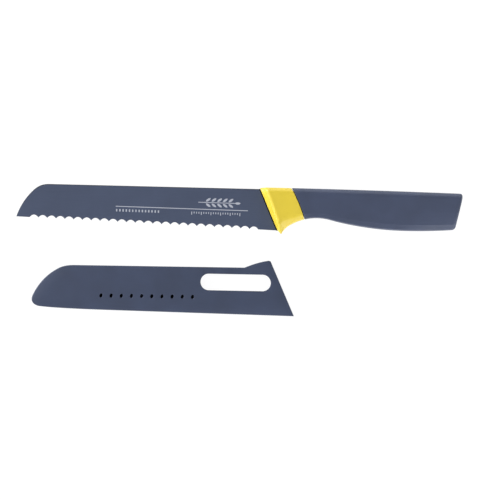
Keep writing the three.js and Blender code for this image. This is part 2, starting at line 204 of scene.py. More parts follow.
SLOT_BOTTOM = -19.8
RIM_ROUND = 0.45
HOLES = 10
HOLE_HALF_SIZE = (1.07, 1.46)
HOLE_LEAN = math.radians(14)
HOLE_RIM = 0.35
FIRST_HOLE = (-120.12, -24.97)
LAST_HOLE = (-55.38, -24.68)


# ---- Curves ----

def between(a, b, share):
    return a + (b - a) * share


def quadratic(p0, p1, p2, steps):
    t = np.linspace(0, 1, steps + 1)[:, None]
    p0, p1, p2 = map(np.asarray, (p0, p1, p2))
    return (1 - t) ** 2 * p0 + 2 * t * (1 - t) * p1 + t ** 2 * p2


def cubic(p0, p1, p2, p3, steps):
    t = np.linspace(0, 1, steps + 1)[:, None]
    p0, p1, p2, p3 = map(np.asarray, (p0, p1, p2, p3))
    return (1 - t) ** 3 * p0 + 3 * t * (1 - t) ** 2 * p1 + 3 * t ** 2 * (1 - t) * p2 + t ** 3 * p3


def arc(centre, radius, start, end, steps):
    angles = np.linspace(start, end, steps + 1)
    return np.column_stack((centre[0] + radius * np.cos(angles), centre[1] + radius * np.sin(angles)))


def joined(*stretches):
    """One run of points from stretches that meet end to end."""
    points = [stretches[0]]
    for stretch in stretches[1:]:
        points.append(np.asarray(stretch, float)[1:])
    return np.vstack(points)


def turned(points, angle):
    """Points turned anticlockwise about their origin."""
    turn = np.array(((math.cos(angle), -math.sin(angle)), (math.sin(angle), math.cos(angle))))
    return points @ turn.T


def run_length(points):
    return np.concatenate(([0], np.cumsum(np.hypot(*np.diff(points, axis=0).T))))


def at_length(points, distance):
    run = run_length(points)
    return np.array([np.interp(distance, run, points[:, i]) for i in range(2)])


def length_at_x(points, x):
    return float(np.interp(x, points[:, 0], run_length(points)))


def inset_loop(loop, distance):
    """A closed loop, drawn anticlockwise, moved inwards by a distance. Sharp corners are held back."""
    loop = np.asarray(loop, float)
    before = loop - np.roll(loop, 1, axis=0)
    after = np.roll(loop, -1, axis=0) - loop
    before /= np.hypot(*before.T)[:, None]
    after /= np.hypot(*after.T)[:, None]
    bisector = np.column_stack((-(before + after)[:, 1], (before + after)[:, 0]))
    bisector /= np.hypot(*bisector.T)[:, None]
    bend = np.clip((before * after).sum(axis=1), -0.5, 1)
    return loop + bisector * (distance / np.sqrt((1 + bend) / 2))[:, None]


def distance_to_loop(point, loop):
    """Distance from a point to the nearest stretch of a closed loop."""
    along = np.roll(loop, -1, axis=0) - loop
    share = ((point - loop) * along).sum(axis=1) / (along ** 2).sum(axis=1)
    nearest = loop + along * np.clip(share, 0, 1)[:, None]
    return float(np.hypot(*(nearest - point).T).min())


# ---- Placing ----

blade_low, blade_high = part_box("blade")
shell_low, shell_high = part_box("sheath_front_shell")
back_low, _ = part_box("sheath_back_shell")
KNIFE_ORIGIN = Vector((blade_low.x - TIP[0] * MM, blade_high.y, (blade_low.z + blade_high.z) / 2))


def mouth_x(y):
    return MOUTH_X - y * MOUTH_LEAN


def sheath_origin():
    """Where the sheath's own zero lies: its heel is the lowest and rightmost point of its box."""
    heel = Matrix.Rotation(SHEATH_YAW, 3, "Z") @ Vector((mouth_x(SHEATH_HEEL), SHEATH_HEEL, 0))
    return Vector((shell_high.x - heel.x * MM, shell_low.y - heel.y * MM, back_low.z))


KNIFE_PLACE = Matrix.Translation(KNIFE_ORIGIN) @ Matrix.Scale(MM, 4)
SHEATH_TURN = Matrix.Rotation(SHEATH_YAW, 4, "Z")
SHEATH_PLACE = Matrix.Translation(sheath_origin()) @ SHEATH_TURN @ Matrix.Scale(MM, 4)


# ---- Meshes ----

def make_object(name, vertices, faces, place):
    """A welded mesh with its faces pointing out, moved from millimetres to its place."""
    mesh = bpy.data.meshes.new(name)
    mesh.from_pydata([tuple(v) for v in vertices], [], faces)
    shaped = bmesh.new()
    shaped.from_mesh(mesh)
    bmesh.ops.remove_doubles(shaped, verts=shaped.verts, dist=WELD)
    bmesh.ops.dissolve_degenerate(shaped, edges=shaped.edges, dist=WELD)
    bmesh.ops.recalc_face_normals(shaped, faces=shaped.faces)
    shaped.to_mesh(mesh)
    shaped.free()
    mesh.transform(place)
    obj = bpy.data.objects.new(name, mesh)
    bpy.context.scene.collection.objects.link(obj)
    return obj


def strips(rings):
    """Vertices and faces of a closed skin over rings of equally many points."""
    count = len(rings[0])
    vertices = np.vstack(rings)
    faces = []
    for r in range(len(rings) - 1):
        for i in range(count):
            a = r * count + i
            b = r * count + (i + 1) % count
            faces.append((a, b, b + count, a + count))
    faces.append(tuple(range(count))[::-1])
    faces.append(tuple(range((len(rings) - 1) * count, len(rings) * count)))
    return vertices, faces


def stacked(loops):
    """Rings from (loop, height) pairs."""
    return [np.column_stack((loop, np.full(len(loop), z))) for loop, z in loops]


def cut(obj, cutters):
    """Takes the cutters' volume out of obj and deletes them."""
    for cutter in cutters:
        modifier = obj.modifiers.new("cut", "BOOLEAN")
        modifier.operation = "DIFFERENCE"
        modifier.solver = "EXACT"
        modifier.material_mode = "TRANSFER"
        modifier.object = cutter
    depsgraph = bpy.context.evaluated_depsgraph_get()
    mesh = bpy.data.meshes.new_from_object(obj.evaluated_get(depsgraph))
    obj.modifiers.clear()
    old = obj.data
    obj.data = mesh
    bpy.data.meshes.remove(old)
    mesh.name = obj.name
    for cutter in cutters:
        bpy.data.objects.remove(cutter)


def smooth(obj, angle):
    """Smooth shading that keeps edges sharper than the angle, in degrees."""
    obj.data.shade_smooth()
    obj.data.set_sharp_from_angle(angle=math.radians(angle))
    weighted = obj.modifiers.new("even_normals", "WEIGHTED_NORMAL")
    weighted.keep_sharp = True
    weighted.weight = 80


def finish_piece(obj, body, slot, *nodes):
    """Rides on the body and stands for the CAD nodes, if there are any. The slot is not used."""
    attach(obj, body)
    if nodes:
        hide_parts(*nodes)


# ---- Materials ----

BLADE_BLUE = (0.0377, 0.0505, 0.089)
# Painted shade: a near-black blue for the spine's round, so that the blade's edge reads as a dark line
SPINE_SHADE_BLUE = (0.006, 0.008, 0.014)
GRIP_BLUE = (0.0276, 0.0388, 0.0773)
SHEATH_BLUE = (0.0217, 0.0325, 0.068)
YELLOW = (0.55, 0.422, 0.0285)
INK_COLOUR = (0.33, 0.35, 0.41)
CORE_COLOUR = (0.028, 0.034, 0.048)
# Painted shade: near black for the sheath's cavity walls, standing for the unlit inside seen through the
# slot and holes
INSIDE_SHADE_COLOUR = (0.003, 0.004, 0.007)
# Painted shade: the dark bead at the collar's front
SHADE_BEAD_COLOUR = (0.006, 0.007, 0.010)
STEEL_DARK = (0.40, 0.41, 0.43)
STEEL_LIGHT = (0.62, 0.63, 0.65)
NOISE_RANGE = (0.3, 0.7)  # where most of a noise texture's values lie


def new_material(name):
    """A material that holds one Principled shader."""
    material = bpy.data.materials.new(name)
    material.use_nodes = True
    nodes = material.node_tree.nodes
    nodes.clear()
    output = nodes.new("ShaderNodeOutputMaterial")
    shader = nodes.new("ShaderNodeBsdfPrincipled")
    material.node_tree.links.new(shader.outputs["BSDF"], output.inputs["Surface"])
    return material, shader


def noise_at(material, scale, detail=3.0, stretch=(1, 1, 1)):
    """Noise in the piece's own space. The scale counts features in a metre."""
    nodes = material.node_tree.nodes
    links = material.node_tree.links
    where = nodes.new("ShaderNodeTexCoord")
    mapping = nodes.new("ShaderNodeMapping")
    mapping.inputs["Scale"].default_value = stretch
    texture = nodes.new("ShaderNodeTexNoise")
    texture.inputs["Scale"].default_value = scale
    texture.inputs["Detail"].default_value = detail
    links.new(where.outputs["Object"], mapping.inputs["Vector"])
    links.new(mapping.outputs["Vector"], texture.inputs["Vector"])
    return texture.outputs["Fac"]


def ramp(material, value, stops):
    """Colours between stops of (value, colour)."""
    node = material.node_tree.nodes.new("ShaderNodeValToRGB")
    elements = node.color_ramp.elements
    while len(elements) < len(stops):
        elements.new(0.5)
    for element, (position, colour) in zip(elements, stops):
        element.position = position
        element.color = (*colour, 1)
    material.node_tree.links.new(value, node.inputs["Fac"])
    return node.outputs["Color"]


def spread(material, value, low, high):
    """A noise value spread over low to high."""
    node = material.node_tree.nodes.new("ShaderNodeMapRange")
    node.inputs["From Min"].default_value = NOISE_RANGE[0]
    node.inputs["From Max"].default_value = NOISE_RANGE[1]
    node.inputs["To Min"].default_value = low
    node.inputs["To Max"].default_value = high
    material.node_tree.links.new(value, node.inputs["Value"])
    return node.outputs["Result"]


def bump(material, shader, layers):
    """Layers of (height, strength, distance in metres), the first one lowest."""
    links = material.node_tree.links
    below = None
    for height, strength, distance in layers:
        node = material.node_tree.nodes.new("ShaderNodeBump")
        node.inputs["Strength"].default_value = strength
        node.inputs["Distance"].default_value = distance
        links.new(height, node.inputs["Height"])
        if below is not None:
            links.new(below, node.inputs["Normal"])
        below = node.outputs["Normal"]
    links.new(below, shader.inputs["Normal"])


def scaled(colour, factor):
    return tuple(min(1, c * factor) for c in colour)


def mottled(material, shader, colour, contrast, scale=60.0):
    """Slow, faint changes of tone in the base colour."""
    value = noise_at(material, scale, detail=4.0)
    stops = [(0.35, scaled(colour, 1 - contrast)), (0.65, scaled(colour, 1 + contrast))]
    links = material.node_tree.links
    links.new(ramp(material, value, stops), shader.inputs["Base Color"])


def moulded_plastic(name, colour, roughness, grain, contrast=0.05, ior=1.48):
    """Plastic with a fine spark-eroded grain over slow ripples, and a slightly uneven sheen."""
    material, shader = new_material(name)
    links = material.node_tree.links
    mottled(material, shader, colour, contrast)
    fine = noise_at(material, scale=2600.0, detail=2.0)
    sheen = noise_at(material, scale=240.0)
    links.new(spread(material, sheen, roughness - 0.05, roughness + 0.05), shader.inputs["Roughness"])
    ripples = noise_at(material, scale=90.0)
    bump(material, shader, [(ripples, 0.12, 0.0002), (fine, grain, 0.00006)])
    shader.inputs["IOR"].default_value = ior
    return material


def coated_steel(name, colour):
    """Satin non-stick coating over lengthwise sanding."""
    material, shader = new_material(name)
    links = material.node_tree.links
    mottled(material, shader, colour, 0.05, scale=45.0)
    sanding = noise_at(material, 2200.0, detail=3.0, stretch=(0.03, 1, 1))
    speckle = noise_at(material, 3800.0, detail=2.0)
    links.new(spread(material, sanding, 0.5, 0.66), shader.inputs["Roughness"])
    bump(material, shader, [(sanding, 0.12, 0.00003), (speckle, 0.1, 0.00004)])
    shader.inputs["IOR"].default_value = 1.38
    return material


def ground_steel():
    """Bare steel on the ground facets, with grinding lines that run up the blade."""
    material, shader = new_material("ground_steel")
    links = material.node_tree.links
    lines = noise_at(material, 3000.0, detail=4.0, stretch=(1, 0.03, 0.03))
    stops = [(NOISE_RANGE[0], STEEL_DARK), (NOISE_RANGE[1], STEEL_LIGHT)]
    links.new(ramp(material, lines, stops), shader.inputs["Base Color"])
    links.new(spread(material, lines, 0.2, 0.38), shader.inputs["Roughness"])
    bump(material, shader, [(lines, 0.25, 0.00003)])
    shader.inputs["Metallic"].default_value = 1.0
    return material


def ink():
    """Pale print, a little worn in fine speckles."""
    material, shader = new_material("pale_print")
    links = material.node_tree.links
    speckle = noise_at(material, 5200.0, detail=2.0)
    stops = [(0.32, scaled(INK_COLOUR, 0.72)), (0.55, INK_COLOUR)]
    links.new(ramp(material, speckle, stops), shader.inputs["Base Color"])
    bump(material, shader, [(speckle, 0.15, 0.00002)])
    shader.inputs["Roughness"].default_value = 0.55
    return material


COATING = coated_steel("coating", BLADE_BLUE)
# The spine's round takes a darker copy of the coating: painted shade, not a different coating
PAINTED_SPINE_SHADE = coated_steel("painted_spine_shade", SPINE_SHADE_BLUE)
GROUND = ground_steel()
PRINT = ink()
GRIP = moulded_plastic("soft_grip", GRIP_BLUE, roughness=0.5, grain=0.16, contrast=0.08)
COLLAR = moulded_plastic("yellow_plastic", YELLOW, roughness=0.4, grain=0.08, contrast=0.03)
SHEATH = moulded_plastic("sheath_plastic", SHEATH_BLUE, roughness=0.56, grain=0.18, contrast=0.08)
CORE = moulded_plastic("core_plastic", CORE_COLOUR, roughness=0.6, grain=0.2)
# The cavity's walls are painted near black: painted shade
PAINTED_INSIDE_SHADE = moulded_plastic("sheath_inside_painted_shade", INSIDE_SHADE_COLOUR, roughness=0.8, grain=0.2, ior=1.2)
# The bead's near-black finish is painted shade
PAINTED_CONTACT_SHADE = moulded_plastic("painted_contact_shade", SHADE_BEAD_COLOUR, roughness=0.9, grain=0.1, ior=1.12)


# ---- Blade ----

def edge_y(x):
    return TIP[1] - (x - TIP[0]) * EDGE_SLOPE


def front_x(y):
    """The collar's leaning front line."""
    return FRONT_X - y * FRONT_LEAN


def tip_outline():
    """From the tip's corner round to the straight spine."""
    radius = math.dist(TIP, TIP_ARC_CENTRE)
    start = math.atan2(TIP[1] - TIP_ARC_CENTRE[1], TIP[0] - TIP_ARC_CENTRE[0])
    curve = arc(TIP_ARC_CENTRE, radius, start, TIP_ARC_END, 60)
    x, y = curve[-1]
    bend = (x + y * math.tan(TIP_ARC_END), 0)
    return joined(curve, quadratic((x, y), bend, (SPINE_END, 0), 12))


TIP_OUTLINE = tip_outline()


def spine_y(x):
    return np.interp(x, TIP_OUTLINE[:, 0], TIP_OUTLINE[:, 1])


def ground_line(x):
    """Height at which each round grinding cut meets the flat side at x."""
    half = PITCH / 2
    sagitta = SCALLOP_DEPTH * math.sin(GRIND)
    radius = (half ** 2 + sagitta ** 2) / (2 * sagitta)
    centres = FIRST_CUSP + half + PITCH * np.arange(SCALLOPS)
    offset = np.clip(np.abs(x - centres), 0, radius)
    rise = SCALLOP_DEPTH - (radius - np.sqrt(radius ** 2 - offset ** 2)) / math.sin(GRIND)
    lines = [edge_y(x) + rise.max()]
    if x < FIRST_CUSP + TIP_EDGE_OVERRUN:
        lines.append(edge_y(x) - TIP_EDGE / math.tan(GRIND))
    return max(lines)


def back_z(x, y):
    """The blade's right side: flat, and hollow where it is ground."""
    ground = HALF_BLADE - KEEN_EDGE - (y - ground_line(x)) * math.tan(GRIND)
    return min(max(-HALF_BLADE, ground), HALF_BLADE - KEEN_EDGE)


def blade_ring(place_x, low_x):
    """A section of the blade from its edge, up the flat side, over the spine and down again.

    place_x gives the section's x at a height y, and low_x is its x at the edge. The spine's round
    shrinks where the blade is low or thin.
    """
    top = float(spine_y(place_x(0)))
    low = max(edge_y(low_x), ground_line(low_x))
    height = max(top - low, LEAST_HEIGHT)
    thickness = HALF_BLADE - back_z(low_x, top)
    radius = min(SPINE_ROUND, 0.4 * height, 0.45 * thickness)
    shoulder = top - radius
    facet_top = min(ground_line(low_x) + 2 * HALF_BLADE / math.tan(GRIND), shoulder)
    points = [(y, HALF_BLADE) for y in np.linspace(low, shoulder, 7)]
    deep = back_z(place_x(shoulder), shoulder)
    for angle in np.radians((22.5, 45, 67.5, 90)):
        points.append((shoulder + radius * math.sin(angle), HALF_BLADE - radius * (1 - math.cos(angle))))
    for angle in np.radians((90, 67.5, 45, 22.5)):
        points.append((shoulder + radius * math.sin(angle), deep + radius * (1 - math.cos(angle))))
    for y in np.linspace(shoulder, max(facet_top, low), 5):
        points.append((y, back_z(place_x(y), y)))
    for y in np.linspace(max(facet_top, low), low, 6)[1:]:
        points.append((y, back_z(place_x(y), y)))
    return np.array([(place_x(y), y, z) for y, z in points])


def blade_rings():
    """Upright sections as far as the last cusp, then ones that lean over to the collar's front."""
    upright = []
    for share in np.linspace(0, 1, TIP_SECTIONS + 1)[1:]:
        upright.append(between(TIP[0], FIRST_CUSP, share ** TIP_CROWDING))
    upright.extend(np.linspace(FIRST_CUSP, LAST_CUSP, SCALLOPS * SCALLOP_SECTIONS + 1)[1:])
    rings = [blade_ring(lambda y, x=x: x, x) for x in upright]
    for share in np.linspace(0, 1, HEEL_SECTIONS + 1)[1:]:
        def leaning(y, share=share):
            return between(LAST_CUSP, front_x(y) + INSIDE_COLLAR, share)
        low_x = LAST_CUSP
        for _ in range(8):  # settles on the x where the section meets the edge
            low_x = leaning(edge_y(low_x))
        rings.append(blade_ring(leaning, low_x))
    return rings


def tang_loop():
    middle = (TANG_TOP + TANG_BOTTOM) / 2
    radius = (TANG_TOP - TANG_BOTTOM) / 2
    end = arc((TANG_END - radius, middle), radius, -math.pi / 2, math.pi / 2, 24)
    start = [(front_x(y) + TANG_START, y) for y in (TANG_TOP, TANG_BOTTOM)]
    return np.vstack((start, end))


def make_tang():
    vertices, faces = strips(stacked([(tang_loop(), -HALF_TANG), (tang_loop(), HALF_TANG)]))
    tang = make_object("tang", vertices, faces, KNIFE_PLACE)
    middle = (TANG_TOP + TANG_BOTTOM) / 2
    holes = []
    for x in TANG_HOLES:
        circle = arc((x, middle), TANG_HOLE_RADIUS, 0, 2 * math.pi, 32)[:-1]
        stack = [(circle, -TANG_CUTTER), (circle, TANG_CUTTER)]
        holes.append(make_object("hole", *strips(stacked(stack)), KNIFE_PLACE))
    cut(tang, holes)
    return tang


def join_into(target, other):
    """Adds the other object's mesh to the target's and deletes the other."""
    joined_mesh = bmesh.new()
    joined_mesh.from_mesh(target.data)
    joined_mesh.from_mesh(other.data)
    joined_mesh.to_mesh(target.data)
    joined_mesh.free()
    bpy.data.objects.remove(other)


def make_blade():
    """Coated all over, but bare steel on the ground facets; the spine's round is painted darker, as
    painted shade along the edge.
    """
    blade = make_object("coated_blade", *strips(blade_rings()), KNIFE_PLACE)
    join_into(blade, make_tang())
    finishes = (COATING, GROUND, PAINTED_SPINE_SHADE)
    for material in finishes:
        blade.data.materials.append(material)
    flat_z = KNIFE_ORIGIN.z + HALF_BLADE * MM
    facet_tilt = math.cos(GRIND) + 0.03
    for polygon in blade.data.polygons:
        x = (polygon.center.x - KNIFE_ORIGIN.x) / MM
        leaning = -facet_tilt < polygon.normal.z < -0.5 and polygon.center.z < flat_z
        if leaning and x < LAST_CUSP + PITCH:
            polygon.material_index = finishes.index(GROUND)
        # Faces over the spine's round get the painted shade
        elif x < 0 and abs(polygon.normal.z) < 0.98 and polygon.normal.y > 0:
            polygon.material_index = finishes.index(PAINTED_SPINE_SHADE)
    smooth(blade, angle=25)
    finish_piece(blade, "knife", "blade_coating", "blade")


# ---- Collar and handle ----

def back_curve():
    return quadratic((front_x(COLLAR_TOP), COLLAR_TOP), BACK_BEND, BUTT_TOP, 80)


def underside_curve():
    """From the collar's front, round the finger guard and groove, over the belly to the butt."""
    groove = arc(GROOVE_CENTRE, GROOVE_RADIUS, GROOVE_START, GROOVE_END, 60)
    return joined(
        [(front_x(FRONT_BOTTOM), FRONT_BOTTOM), GUARD_TIP],
        quadratic(GUARD_TIP, GUARD_BEND, groove[0], 20),
        groove,
        cubic(groove[-1], GROOVE_BEND, BELLY_BEND, BELLY, 60),
        quadratic(BELLY, BUTT_BEND, BUTT_BOTTOM, 40),
    )


BACK = back_curve()
UNDERSIDE = underside_curve()
BACK_LENGTH = run_length(BACK)[-1]
UNDERSIDE_LENGTH = run_length(UNDERSIDE)[-1]
SEAM_BACK = length_at_x(BACK, SEAM_TOP_X)
SEAM_UNDERSIDE = length_at_x(UNDERSIDE, SEAM_BOTTOM_X)


def half_thickness(distance):
    """Grows along the collar's chamfer, which rounds over into the flat side."""
    slope = (HALF_HANDLE - FRONT_HALF) / CHAMFER_LENGTH
    into_round = min(max(distance - CHAMFER_FLAT, 0), CHAMFER_ROUND)
    return FRONT_HALF + slope * (
        min(distance, CHAMFER_FLAT) + into_round - into_round ** 2 / (2 * CHAMFER_ROUND)
    )


def butt_inset(distance):
    """How far the sections draw in over the butt's rounded edge."""
    into = max(BUTT_ROUND - (BACK_LENGTH - distance), 0)
    return BUTT_ROUND - math.sqrt(max(BUTT_ROUND ** 2 - into ** 2, 0))


def station(distance):
    """Top, bottom and the seam's share of bulge for the section at a distance along the back."""
    if distance < SEAM_BACK:
        lower = distance / SEAM_BACK * SEAM_UNDERSIDE
        bulge = distance / SEAM_BACK
    else:
        share = (distance - SEAM_BACK) / (BACK_LENGTH - SEAM_BACK)
        lower = between(SEAM_UNDERSIDE, UNDERSIDE_LENGTH, share)
        bulge = max(1 - (distance - SEAM_BACK) / SEAM_FADE, 0)
    return at_length(BACK, distance), at_length(UNDERSIDE, lower), SEAM_BULGE * bulge


def table_value(table, distance):
    """Reads between the rows of a table of (distance, value)."""
    return float(np.interp(distance, [row[0] for row in table], [row[1] for row in table]))


def side_profile(half, height, inset, distance):
    """One side of a section from its back to its underside: (depth below the back, z) pairs."""
    top_round = min(max(TOP_ROUND - inset, 1), 0.9 * half)
    profile = []
    for angle in np.linspace(0, math.pi / 2, 13):
        depth = top_round * (1 - math.cos(angle))
        profile.append((depth, half - top_round + top_round * math.sin(angle)))
    scale = half / HALF_HANDLE
    slope = table_value(FACET_SLOPES, distance) * scale
    swell = table_value(SWELL_DROPS, distance) * scale
    width = table_value(FACET_WIDTHS, distance)
    ease = table_value(FACET_EASES, distance)
    room = min(1, FACET_SHARE * height / (LOW_ROUND + width + SWELL_WIDTH))
    facet_low = height - LOW_ROUND * room
    facet_top = facet_low - width * room
    for share in np.linspace(0, 1, 6):
        depth = facet_top - SWELL_WIDTH * room * (1 - share) - ease * room * share
        profile.append((depth, half - swell * share ** 2))
    for share in np.linspace(0, 1, 7)[1:]:
        step = between(-ease, ease, share)
        drop = slope * (step + ease) ** 2 / (4 * ease)
        profile.append((facet_top + step * room, half - swell - drop * room))
    for step in (width - FACET_LAST, width):
        profile.append((facet_top + step * room, half - swell - slope * step * room))
    edge = profile[-1][1]
    for angle in np.linspace(0, math.pi / 2, 8)[1:]:
        depth = facet_low + LOW_ROUND * room * math.sin(angle)
        profile.append((depth, edge * math.cos(angle)))
    return profile


def handle_ring(distance, inset):
    """One section of the handle, distance measured along its back from the collar's front."""
    top, bottom, bulge = station(distance)
    height = math.dist(top, bottom)
    down = (bottom - top) / height
    at_butt = butt_inset(distance)
    at_front = FRONT_INSET * max(0, 1 - distance / CHAMFER_LENGTH)
    start = inset + at_front + at_butt * BUTT_TOP_SHARE
    end = height - inset - at_front - at_butt * BUTT_LOW_SHARE
    half = half_thickness(distance) - inset - at_butt
    profile = side_profile(half, end - start, inset, distance)
    ring = []
    for depth, z in profile + [(depth, -z) for depth, z in profile[-2::-1]]:
        share = (start + depth) / height
        x = top[0] + down[0] * (start + depth) + bulge * 4 * share * (1 - share)
        ring.append((x, top[1] + down[1] * (start + depth), z))
    return np.array(ring)


def steps_between(start, end, spacing):
    """Even steps from start to end, no further apart than the spacing."""
    count = max(2, math.ceil((end - start) / spacing) + 1)
    return list(np.linspace(start, end, count))


def rounded_lip(distance, radius, facing):
    """Rings of a rounded edge at a seam. facing is +1 where the edge looks towards the butt."""
    rings = []
    for angle in np.radians((0, 22.5, 45, 67.5, 90)):
        back = radius * (1 - math.sin(angle))
        rings.append((distance - facing * back, radius * (1 - math.cos(angle))))
    return rings


def make_collar():
    """A skin that runs from the front to the lip at the seam, and back to the front inside."""
    guard_tip = run_length(UNDERSIDE)[1] * SEAM_BACK / SEAM_UNDERSIDE
    chamfer = steps_between(CHAMFER_START, CHAMFER_FLAT, CHAMFER_SPACING)
    front = sorted([*FRONT_STATIONS, guard_tip, *chamfer])
    shoulder = steps_between(CHAMFER_FLAT, CHAMFER_FLAT + CHAMFER_ROUND, SHOULDER_SPACING)[1:]
    side = steps_between(shoulder[-1], SEAM_BACK - COLLAR_LIP, COLLAR_SPACING)[1:]
    outer = [(d, 0.0) for d in front + shoulder + side]
    lip = rounded_lip(SEAM_BACK, COLLAR_LIP, 1)[1:]
    lining = steps_between(LINING_FRONT, SEAM_BACK, COLLAR_LINING_SPACING)[::-1]
    inner = [(d, LINING_INSET) for d in lining]
    rings = [handle_ring(d, inset) for d, inset in outer + lip + inner]
    collar = make_object("yellow_collar", *strips(rings), KNIFE_PLACE)
    collar.data.materials.append(COLLAR)
    smooth(collar, angle=40)
    finish_piece(collar, "knife", "collar_plastic", "collar")


def make_painted_shade_bead():
    """A dark bead on the blade along the collar's front: painted shade for the contact shadow where the
    blade enters the collar.
    """
    top, low = SHADE_BEAD_PROUD, edge_y(front_x(FRONT_BOTTOM))
    loop = [(front_x(top) - SHADE_BEAD_WIDTH, top), (front_x(low) - SHADE_BEAD_WIDTH, low - SHADE_BEAD_PROUD)]
    loop += [(front_x(low) + SHADE_BEAD_WIDTH, low - SHADE_BEAD_PROUD), (front_x(top) + SHADE_BEAD_WIDTH, top)]
    loop = np.array(loop)
    thick = HALF_BLADE + SHADE_BEAD_PROUD
    soft = SHADE_BEAD_PROUD / 2
    stack = [(inset_loop(loop, soft), -thick), (loop, soft - thick)]
    stack += [(loop, thick - soft), (inset_loop(loop, soft), thick)]
    painted_contact_shade = make_object("painted_shade_bead", *strips(stacked(stack)), KNIFE_PLACE)
    painted_contact_shade.data.materials.append(PAINTED_CONTACT_SHADE)
    smooth(painted_contact_shade, angle=40)
    finish_piece(painted_contact_shade, "knife", "core_plastic")


def make_grip():
    """A skin that runs back to front inside, round the lip at the seam, and on to the butt."""
    start = SEAM_BACK + SEAM_GAP
    lining = steps_between(start, LINING_BACK, GRIP_LINING_SPACING)[::-1]
    inner = [(d, LINING_INSET) for d in lining]
    lip = rounded_lip(start, GRIP_LIP, -1)[::-1]
    side = steps_between(start + GRIP_LIP, BACK_LENGTH - BUTT_ROUND, GRIP_SPACING)[1:]
    outer = [(d, 0.0) for d in side]
    butt = []
    for angle in np.radians(np.linspace(0, 90, 13)[1:]):
        butt.append((BACK_LENGTH - BUTT_ROUND * (1 - math.sin(angle)), 0.0))
    rings = [handle_ring(d, inset) for d, inset in inner + lip + outer + butt]
    grip = make_object("moulded_grip", *strips(rings), KNIFE_PLACE)
    grip.data.materials.append(GRIP)
    smooth(grip, angle=40)
    finish_piece(grip, "knife", "grip_plastic", "handle_grip")


# ---- Sheath ----

def sheath_tip(inset):
    """From the end of the straight top, round the tip and back to the straight underside."""
    top = (SHEATH_TOP[0], SHEATH_TOP[1] - inset)
    curve = arc(SHEATH_TIP_CENTRE, SHEATH_TIP_RADIUS - inset, SHEATH_ARC_TOP, SHEATH_ARC_LOW, 40)
    x, y = curve[0]
    high = (TIP_HIGH[0] + inset, TIP_HIGH[1])
    low = (TIP_LOW[0] + inset / 2, TIP_LOW[1] + inset)
    corner = (TIP_CORNER[0], TIP_CORNER[1] + inset)
    return joined(
        quadratic(top, (x + (y - top[1]) * math.tan(SHEATH_ARC_TOP), top[1]), (x, y), 12),
        curve,
        cubic(curve[-1], high, low, corner, 16),
        quadratic(
            corner,
            (UNDERSIDE_BEND[0], UNDERSIDE_BEND[1] + inset),
            (UNDERSIDE_START[0], UNDERSIDE_START[1] + inset),
            12,
        ),
    )


def sheath_loop():
    """The outline, anticlockwise from the top of the mouth."""
    return joined(
        quadratic((mouth_x(MOUTH_TOP), MOUTH_TOP), (mouth_x(RAMP_LIP), RAMP_LIP), RAMP_TOP, 6),
        quadratic(RAMP_TOP, RAMP_BEND, RAMP_START, 14),
        [RAMP_START, SHEATH_TOP],
        sheath_tip(0),
        [UNDERSIDE_START, (mouth_x(SHEATH_HEEL), SHEATH_HEEL)],
    )


def cavity_loop():
    """The room for the blade, drawn past the open mouth."""
    share = (CAVITY_END - UNDERSIDE_START[0]) / (mouth_x(SHEATH_HEEL) - UNDERSIDE_START[0])
    return joined(
        [(CAVITY_END, SHEATH_TOP[1] - WALL), (SHEATH_TOP[0], SHEATH_TOP[1] - WALL)],
        sheath_tip(WALL),
        [
            (UNDERSIDE_START[0], UNDERSIDE_START[1] + WALL),
            (CAVITY_END, between(UNDERSIDE_START[1], SHEATH_HEEL, share) + WALL),
        ],
    )


def slot_loop():
    """The long slot, with half-round ends."""
    radius = (SLOT_TOP - SLOT_BOTTOM) / 2
    middle = (SLOT_TOP + SLOT_BOTTOM) / 2
    right = arc((SLOT_RIGHT - radius, middle), radius, -math.pi / 2, math.pi / 2, 32)
    left = arc((SLOT_LEFT + radius, middle), radius, math.pi / 2, 3 * math.pi / 2, 32)
    return np.vstack((right, left))


def flared_cutter(loop, rim, low_z, high_z):
    """A cutter from low_z through the face at high_z, which it leaves with a rounded rim."""
    stack = [(loop, low_z), (loop, high_z - rim)]
    for angle in np.radians((15, 30, 45, 60, 75, 90)):
        out = rim * (1 - math.cos(angle))
        stack.append((inset_loop(loop, -out), high_z - rim * (1 - math.sin(angle))))
    stack.append((inset_loop(loop, -rim), high_z + CUTTER_OVERRUN))
    return stack


def flipped(stack):
    """The same stack, mirrored in the middle of the sheath's height."""
    return [(loop, SHEATH_HEIGHT - z) for loop, z in stack]


def half_stack():
    """Loops of the upper half from the seam to the top face."""
    loop = sheath_loop()
    seam = SHEATH_HEIGHT / 2 + SHELL_GAP
    start = SHEATH_HEIGHT - SHEATH_ROUND
    stack = [(inset_loop(loop, SHELL_BEVEL), seam), (loop, seam + SHELL_BEVEL), (loop, start)]
    for angle in np.radians(np.linspace(0, 90, 9)[1:]):
        inset = SHEATH_ROUND * (1 - math.cos(angle))
        stack.append((inset_loop(loop, inset), start + SHEATH_ROUND * math.sin(angle)))
    return stack


def hole_loops():
    """The row of small holes, each a little taller than wide and leaning to the right."""
    circle = arc((0, 0), 1, 0, 2 * math.pi, 40)[:-1]
    oval = turned(circle * HOLE_HALF_SIZE, -HOLE_LEAN)
    loops = []
    for i in range(HOLES):
        loops.append(oval + between(np.array(FIRST_HOLE), np.array(LAST_HOLE), i / (HOLES - 1)))
    return loops


